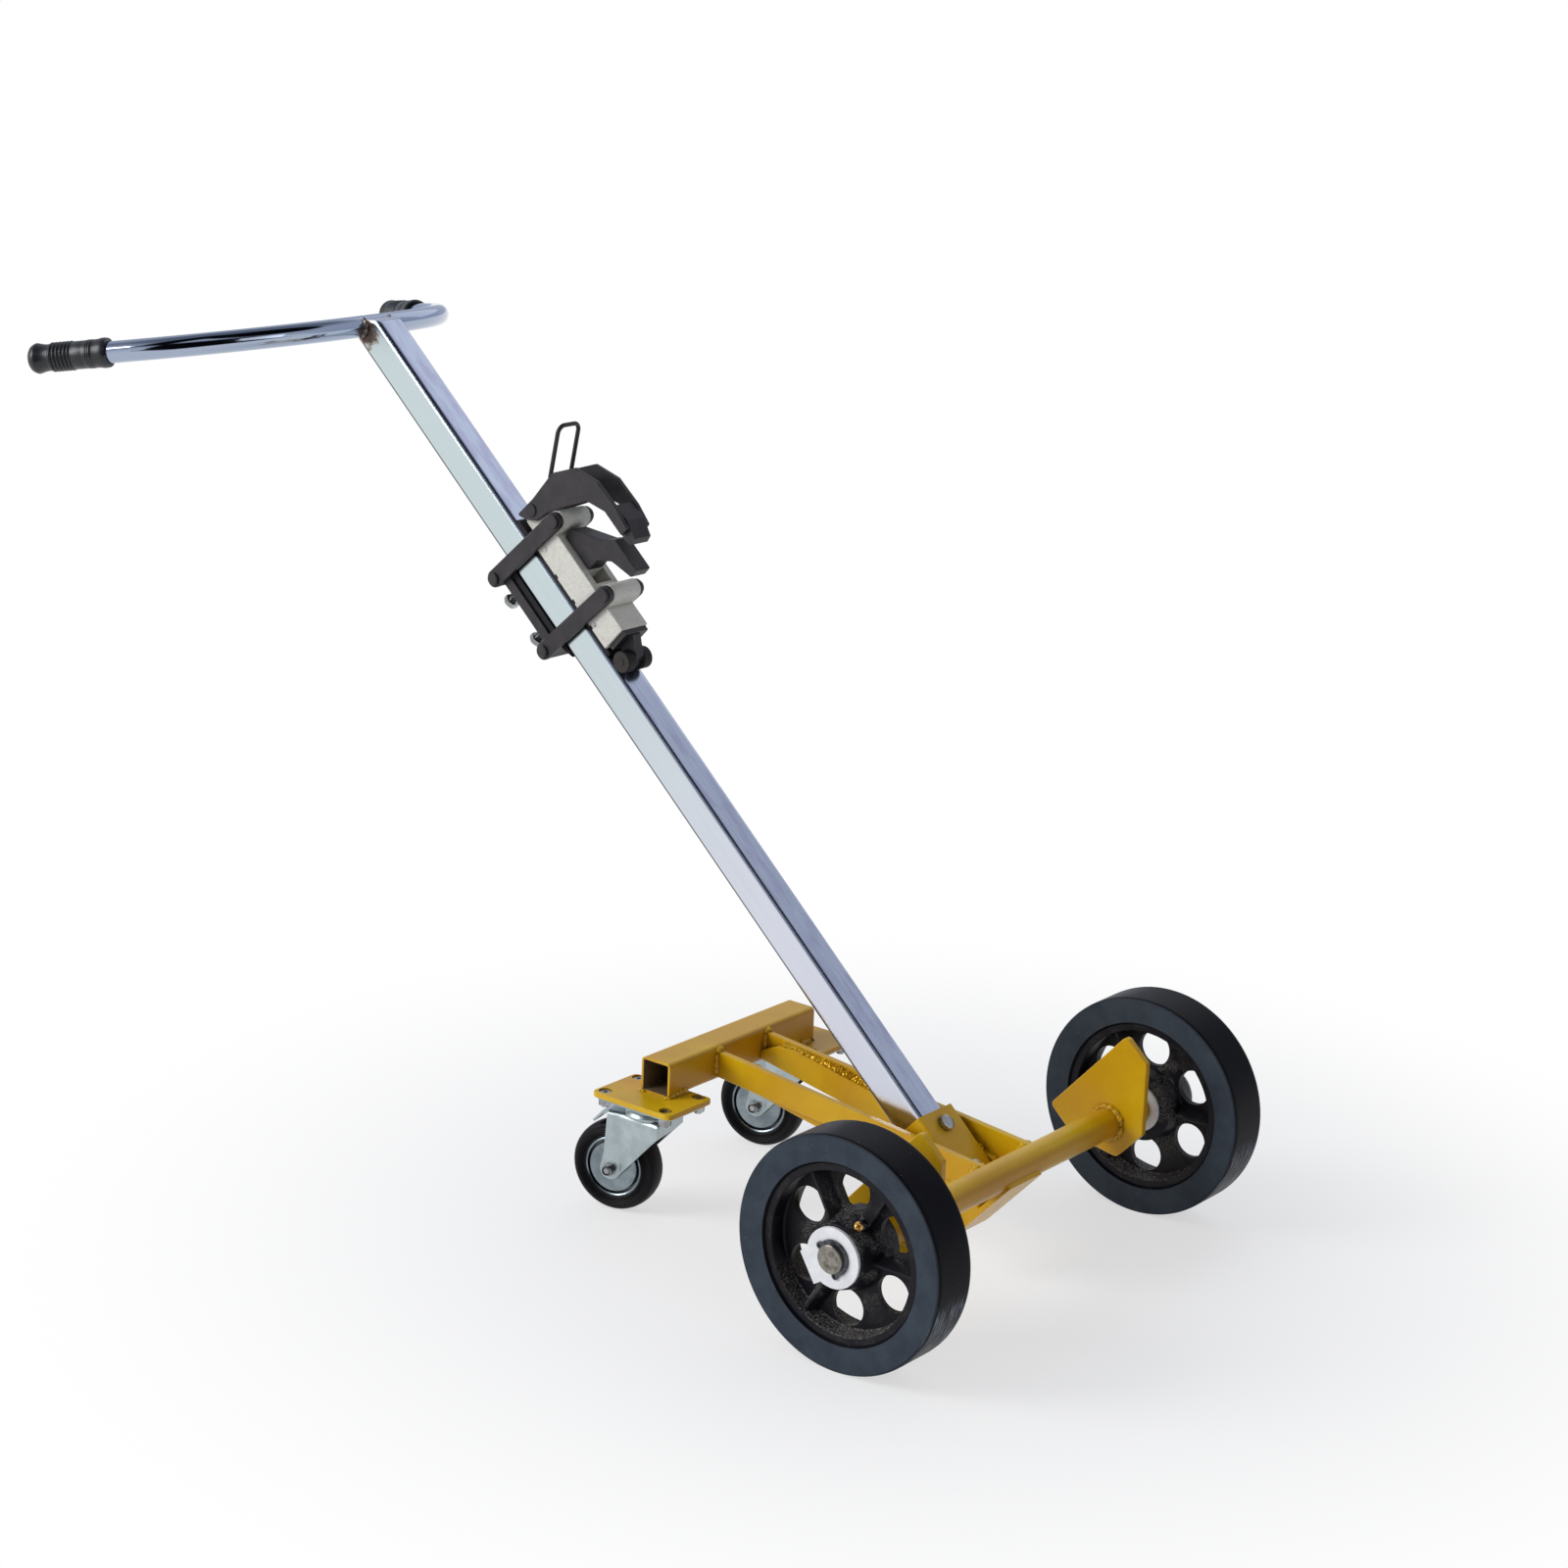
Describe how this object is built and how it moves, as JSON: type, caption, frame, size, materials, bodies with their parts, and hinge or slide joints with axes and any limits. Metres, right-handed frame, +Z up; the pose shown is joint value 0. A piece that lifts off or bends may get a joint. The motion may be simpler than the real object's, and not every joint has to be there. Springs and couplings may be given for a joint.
{
  "type": "drum trolley",
  "caption": "Hand trolley for a steel drum: leaning square mast with bow handle, sliding rim clamp, large front wheels on an axle and swivel casters behind.",
  "frame": {"origin": "on the floor under the middle of the bounding box", "axes": "+X towards the load (forward), +Y to the operator's left, +Z up"},
  "size_m": [1.3378, 0.633, 0.9142],
  "materials": {
    "yellow_paint": "glossy stoved paint",
    "plated_steel": "satin bright plate",
    "zinc_steel": "blue-white zinc",
    "bare_steel": "oiled bright steel",
    "grip_rubber": "satin",
    "wheel_rubber": "matt",
    "black_casting": "sandy black",
    "bronze": "turned",
    "caster_rubber": "matt",
    "raw_casting": "sandy, unpainted",
    "black_steel": "satin black",
    "pad_rubber": "matt"
  },
  "bodies": {
    "frame": {"cross_tube": "yellow_paint", "caster_plate_r": "yellow_paint", "caster_plate_l": "yellow_paint", "side_bar_r": "yellow_paint", "side_bar_l": "yellow_paint", "brace_bar_r": "yellow_paint", "brace_bar_l": "yellow_paint", "axle_tube": "yellow_paint", "cradle_lug_r": "yellow_paint", "cradle_lug_l": "yellow_paint", "mast_socket": "yellow_paint", "socket_bolts": "zinc_steel", "axle": "bare_steel", "hub_washers": "zinc_steel", "axle_circlips": "bare_steel", "mast": "plated_steel", "handle_tube": "plated_steel", "grip_r": "grip_rubber", "grip_l": "grip_rubber", "caster_bolts": "zinc_steel", "kingpins": "zinc_steel", "top_plate_r": "zinc_steel", "top_plate_l": "zinc_steel"},
    "wheel_r": {"wheel_tyre_r": "wheel_rubber", "wheel_core_r": "black_casting", "wheel_bush_r": "bronze", "grease_nipple_r": "bronze"},
    "caster_r": {"caster_fork_r": "zinc_steel", "caster_axle_r": "zinc_steel", "caster_nut_r": "zinc_steel"},
    "caster_wheel_r": {"caster_tyre_r": "caster_rubber", "caster_rim_r": "zinc_steel"},
    "wheel_l": {"wheel_tyre_l": "wheel_rubber", "wheel_core_l": "black_casting", "wheel_bush_l": "bronze", "grease_nipple_l": "bronze"},
    "caster_l": {"caster_fork_l": "zinc_steel", "caster_axle_l": "zinc_steel", "caster_nut_l": "zinc_steel"},
    "caster_wheel_l": {"caster_tyre_l": "caster_rubber", "caster_rim_l": "zinc_steel"},
    "clamp": {"clamp_block": "raw_casting", "pad_pins": "zinc_steel", "front_pad": "pad_rubber", "jaw_anvil": "black_steel", "link_pins": "black_steel", "roller_bracket": "black_steel"},
    "rollers": {"guide_rollers": "pad_rubber", "roller_pin": "bare_steel"},
    "upper_link": {"upper_links": "black_steel", "upper_rear_pin": "black_steel"},
    "lower_link": {"lower_links": "black_steel", "lower_rear_pin": "black_steel"},
    "back_jaw": {"back_bar": "black_steel", "back_pad": "pad_rubber", "adjusters": "zinc_steel"},
    "hook": {"hook_cheeks": "black_steel", "hook_nose": "black_steel", "hook_pivot": "black_steel", "hook_bail": "zinc_steel"}
  },
  "joints": [
    {"name": "wheel_spin_r", "type": "hinge", "parent": "frame", "child": "wheel_r", "pos_m": [0.5439, -0.2767, 0.125], "axis": [0, 1, 0], "continuous": true},
    {"name": "caster_swivel_r", "type": "hinge", "parent": "frame", "child": "caster_r", "pos_m": [0.1546, -0.128, 0.126], "axis": [0, 0, 1], "continuous": true},
    {"name": "caster_spin_r", "type": "hinge", "parent": "caster_r", "child": "caster_wheel_r", "pos_m": [0.11652, -0.13644, 0.0515], "axis": [-0.2164, 0.9763, 0], "continuous": true},
    {"name": "wheel_spin_l", "type": "hinge", "parent": "frame", "child": "wheel_l", "pos_m": [0.5439, 0.2767, 0.125], "axis": [0, 1, 0], "continuous": true},
    {"name": "caster_swivel_l", "type": "hinge", "parent": "frame", "child": "caster_l", "pos_m": [0.1546, 0.128, 0.126], "axis": [0, 0, 1], "continuous": true},
    {"name": "caster_spin_l", "type": "hinge", "parent": "caster_l", "child": "caster_wheel_l", "pos_m": [0.11638, 0.12022, 0.0515], "axis": [-0.1994, 0.9799, 0], "continuous": true},
    {"name": "clamp_slide", "type": "slide", "parent": "frame", "child": "clamp", "axis": [-0.7362, 0, 0.6767], "range_m": [-0.45, 0.26]},
    {"name": "roller_spin", "type": "hinge", "parent": "clamp", "child": "rollers", "pos_m": [0.00103, 0, 0.57963], "axis": [0, 1, 0], "continuous": true},
    {"name": "upper_link_swing", "type": "hinge", "parent": "clamp", "child": "upper_link", "pos_m": [-0.09634, 0, 0.72435], "axis": [0, -1, 0], "range_deg": [0, 5]},
    {"name": "lower_link_swing", "type": "hinge", "parent": "clamp", "child": "lower_link", "pos_m": [-0.01978, 0, 0.65397], "axis": [0, -1, 0], "range_deg": [0, 5]},
    {"name": "back_jaw_swing", "type": "hinge", "parent": "upper_link", "child": "back_jaw", "pos_m": [-0.18421, 0, 0.6441], "axis": [0, 1, 0], "range_deg": [0, 5]},
    {"name": "hook_lift", "type": "hinge", "parent": "clamp", "child": "hook", "pos_m": [-0.13685, 0, 0.7296], "axis": [0, -1, 0], "range_deg": [0, 70]}
  ],
  "couplings": [
    {"joint": "lower_link_swing", "follows": "upper_link_swing", "ratio": 1},
    {"joint": "back_jaw_swing", "follows": "upper_link_swing", "ratio": 1}
  ]
}
